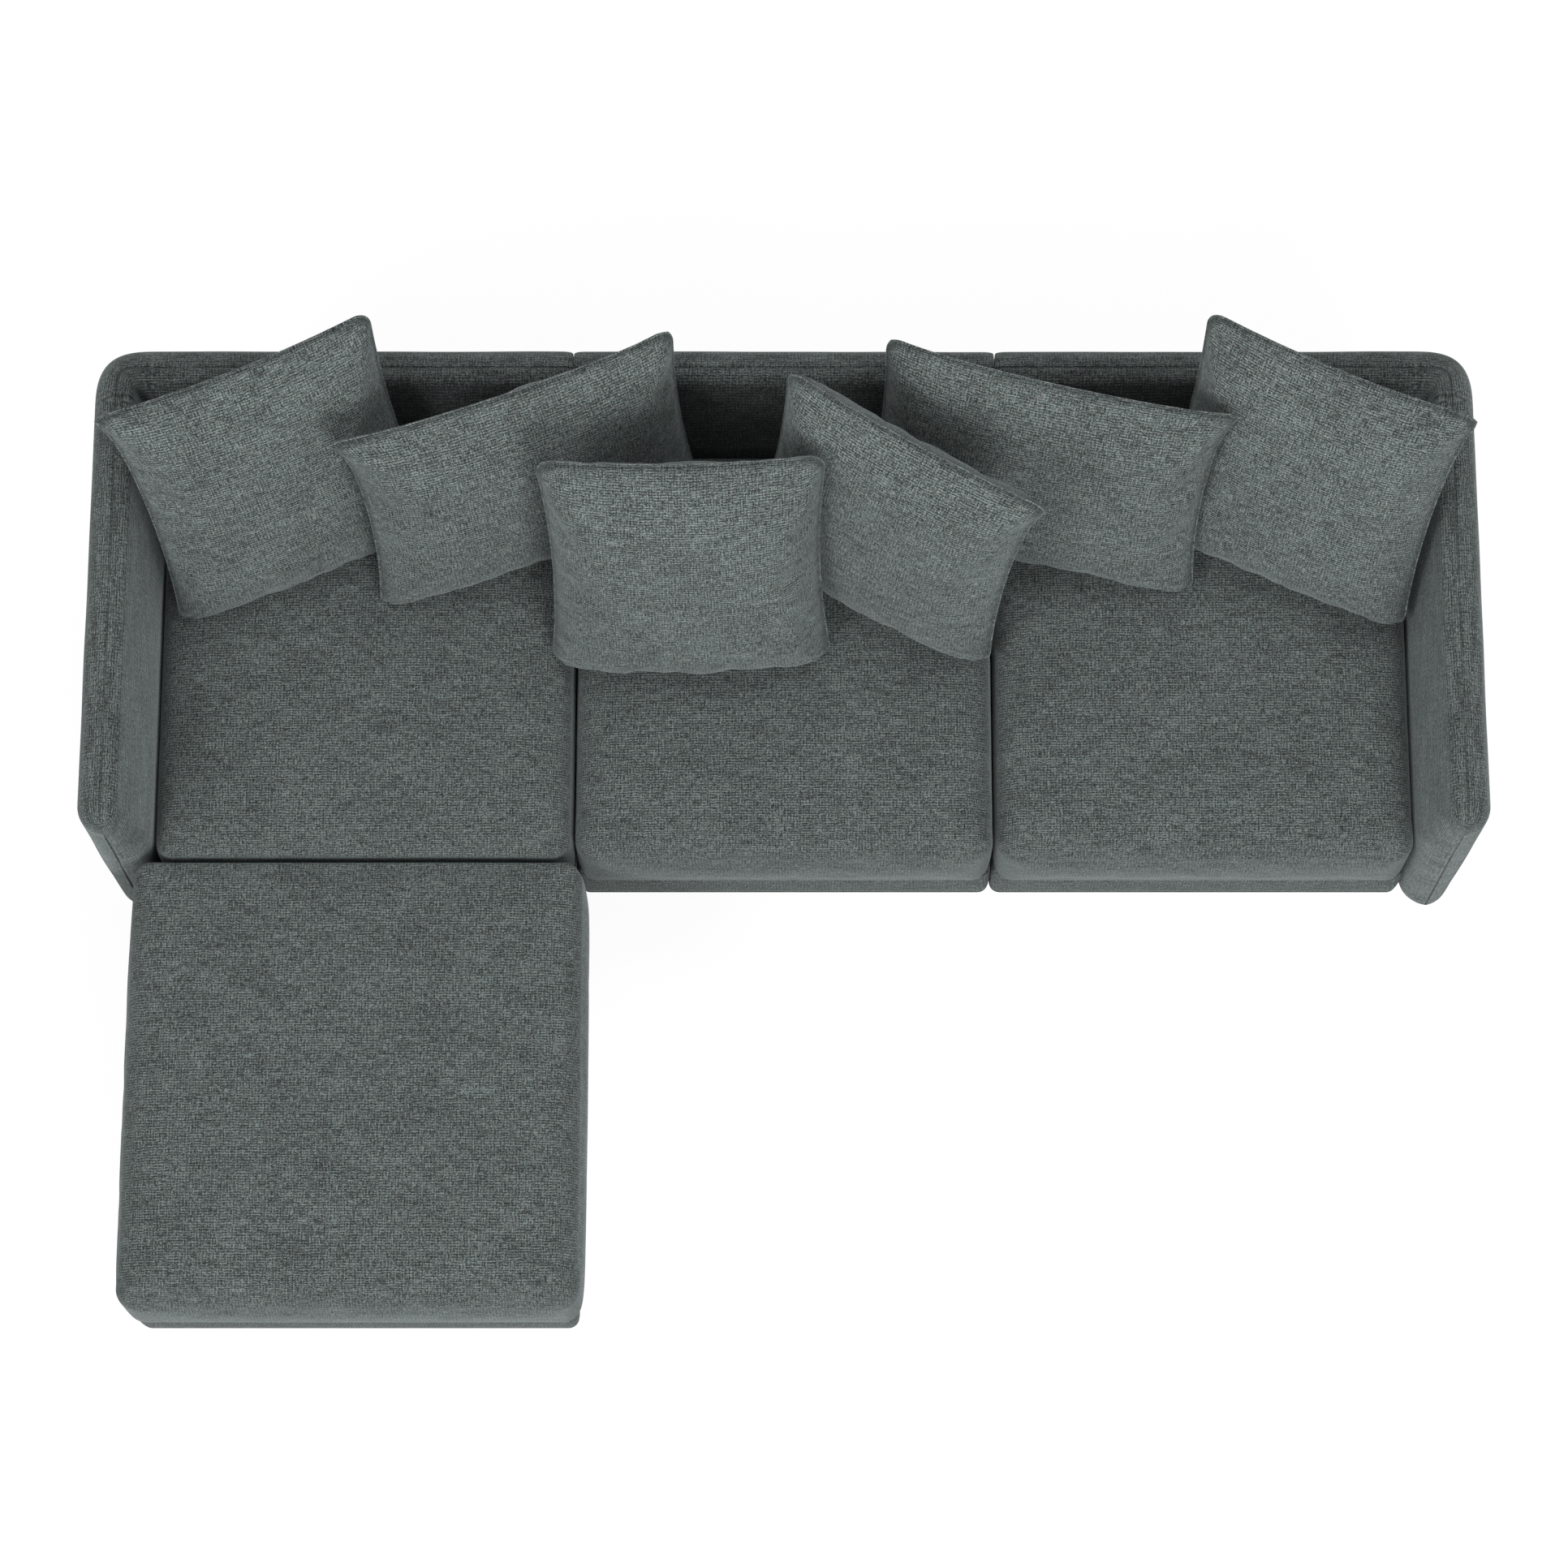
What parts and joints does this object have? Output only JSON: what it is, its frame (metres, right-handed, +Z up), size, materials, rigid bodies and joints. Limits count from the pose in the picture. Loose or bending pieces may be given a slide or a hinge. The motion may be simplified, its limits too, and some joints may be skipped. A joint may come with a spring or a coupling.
{
  "type": "three-seater sofa with footstool",
  "caption": "Low modular sofa with slim padded arms and back, boxed seat cushions, loose knife-edge pillows and a matching square footstool on short legs.",
  "frame": {"origin": "on the floor, at the centre of the footprint of the sofa and the footstool together", "axes": "+X to the right as seen from the front, +Y from the front to the back of the sofa, +Z up"},
  "size_m": [2.5, 1.72, 0.9239],
  "materials": {
    "sofa_fabric": "heathered slate-grey chenille weave",
    "pillow_fabric": "heathered slate-grey chenille weave",
    "frame_timber": "planed softwood",
    "leg_timber": "dark stained, satin",
    "foam": "cut foam",
    "fibre_fill": "fibre pad in a plain case",
    "webbing": "woven elastic strap",
    "dust_cloth": "non-woven cloth",
    "felt": "pressed felt",
    "grip": "ribbed grip strip",
    "steel": "zinc plated"
  },
  "bodies": {
    "sofa": {"left_arm_frame": "frame_timber", "left_back_frame": "frame_timber", "left_base_cover": "sofa_fabric", "left_base_frame": "frame_timber", "left_dust_cover": "dust_cloth", "left_legs": "leg_timber", "left_seat_core": "foam", "left_seat_cover": "sofa_fabric", "left_tub_cover": "sofa_fabric", "left_tub_foam": "foam", "left_webbing": "webbing", "middle_back_cover": "sofa_fabric", "middle_back_foam": "foam", "middle_back_frame": "frame_timber", "middle_base_cover": "sofa_fabric", "middle_base_frame": "frame_timber", "middle_dust_cover": "dust_cloth", "middle_legs": "leg_timber", "middle_seat_core": "foam", "middle_seat_cover": "sofa_fabric", "middle_webbing": "webbing", "module_joining_plates": "steel", "right_arm_frame": "frame_timber", "right_back_frame": "frame_timber", "right_base_cover": "sofa_fabric", "right_base_frame": "frame_timber", "right_dust_cover": "dust_cloth", "right_legs": "leg_timber", "right_seat_core": "foam", "right_seat_cover": "sofa_fabric", "right_tub_cover": "sofa_fabric", "right_tub_foam": "foam", "right_webbing": "webbing", "seat_grip_strips": "grip", "sofa_glides": "felt", "sofa_leg_plates": "steel", "tub_fixing_plates": "steel"},
    "footstool": {"footstool_base_cover": "sofa_fabric", "footstool_base_frame": "frame_timber", "footstool_dust_cover": "dust_cloth", "footstool_glides": "felt", "footstool_grip_strips": "grip", "footstool_leg_plates": "steel", "footstool_legs": "leg_timber", "footstool_webbing": "webbing"},
    "footstool_cushion": {"footstool_seat_cover": "sofa_fabric", "footstool_seat_core": "foam"},
    "left_corner_pillow": {"left_corner_pillow_cover": "pillow_fabric", "left_corner_pillow_insert": "fibre_fill"},
    "left_long_pillow": {"left_long_pillow_cover": "pillow_fabric", "left_long_pillow_insert": "fibre_fill"},
    "front_pillow": {"front_pillow_cover": "pillow_fabric", "front_pillow_insert": "fibre_fill"},
    "middle_pillow": {"middle_pillow_cover": "pillow_fabric", "middle_pillow_insert": "fibre_fill"},
    "right_long_pillow": {"right_long_pillow_cover": "pillow_fabric", "right_long_pillow_insert": "fibre_fill"},
    "right_corner_pillow": {"right_corner_pillow_cover": "pillow_fabric", "right_corner_pillow_insert": "fibre_fill"}
  },
  "joints": [
    {"name": "footstool_slide", "type": "slide", "parent": "sofa", "child": "footstool", "axis": [0, -1, 0], "range_m": [0, 0.6]},
    {"name": "footstool_cushion_lift", "type": "slide", "parent": "footstool", "child": "footstool_cushion", "axis": [0, 0, 1], "range_m": [0, 0.3]},
    {"name": "left_corner_pillow_lift", "type": "slide", "parent": "sofa", "child": "left_corner_pillow", "axis": [-0.195, 0.4601, 0.8662], "range_m": [0, 0.5]},
    {"name": "left_long_pillow_lift", "type": "slide", "parent": "sofa", "child": "left_long_pillow", "axis": [-0.1459, 0.3798, 0.9135], "range_m": [0, 0.42]},
    {"name": "front_pillow_lift", "type": "slide", "parent": "sofa", "child": "front_pillow", "axis": [0, 0, 1], "range_m": [0, 0.5]},
    {"name": "middle_pillow_lift", "type": "slide", "parent": "sofa", "child": "middle_pillow", "axis": [0, 0.37, 0.929], "range_m": [0, 0.5]},
    {"name": "right_long_pillow_lift", "type": "slide", "parent": "sofa", "child": "right_long_pillow", "axis": [0.11, 0.4561, 0.8831], "range_m": [0, 0.42]},
    {"name": "right_corner_pillow_lift", "type": "slide", "parent": "sofa", "child": "right_corner_pillow", "axis": [0.224, 0.439, 0.8701], "range_m": [0, 0.5]}
  ]
}
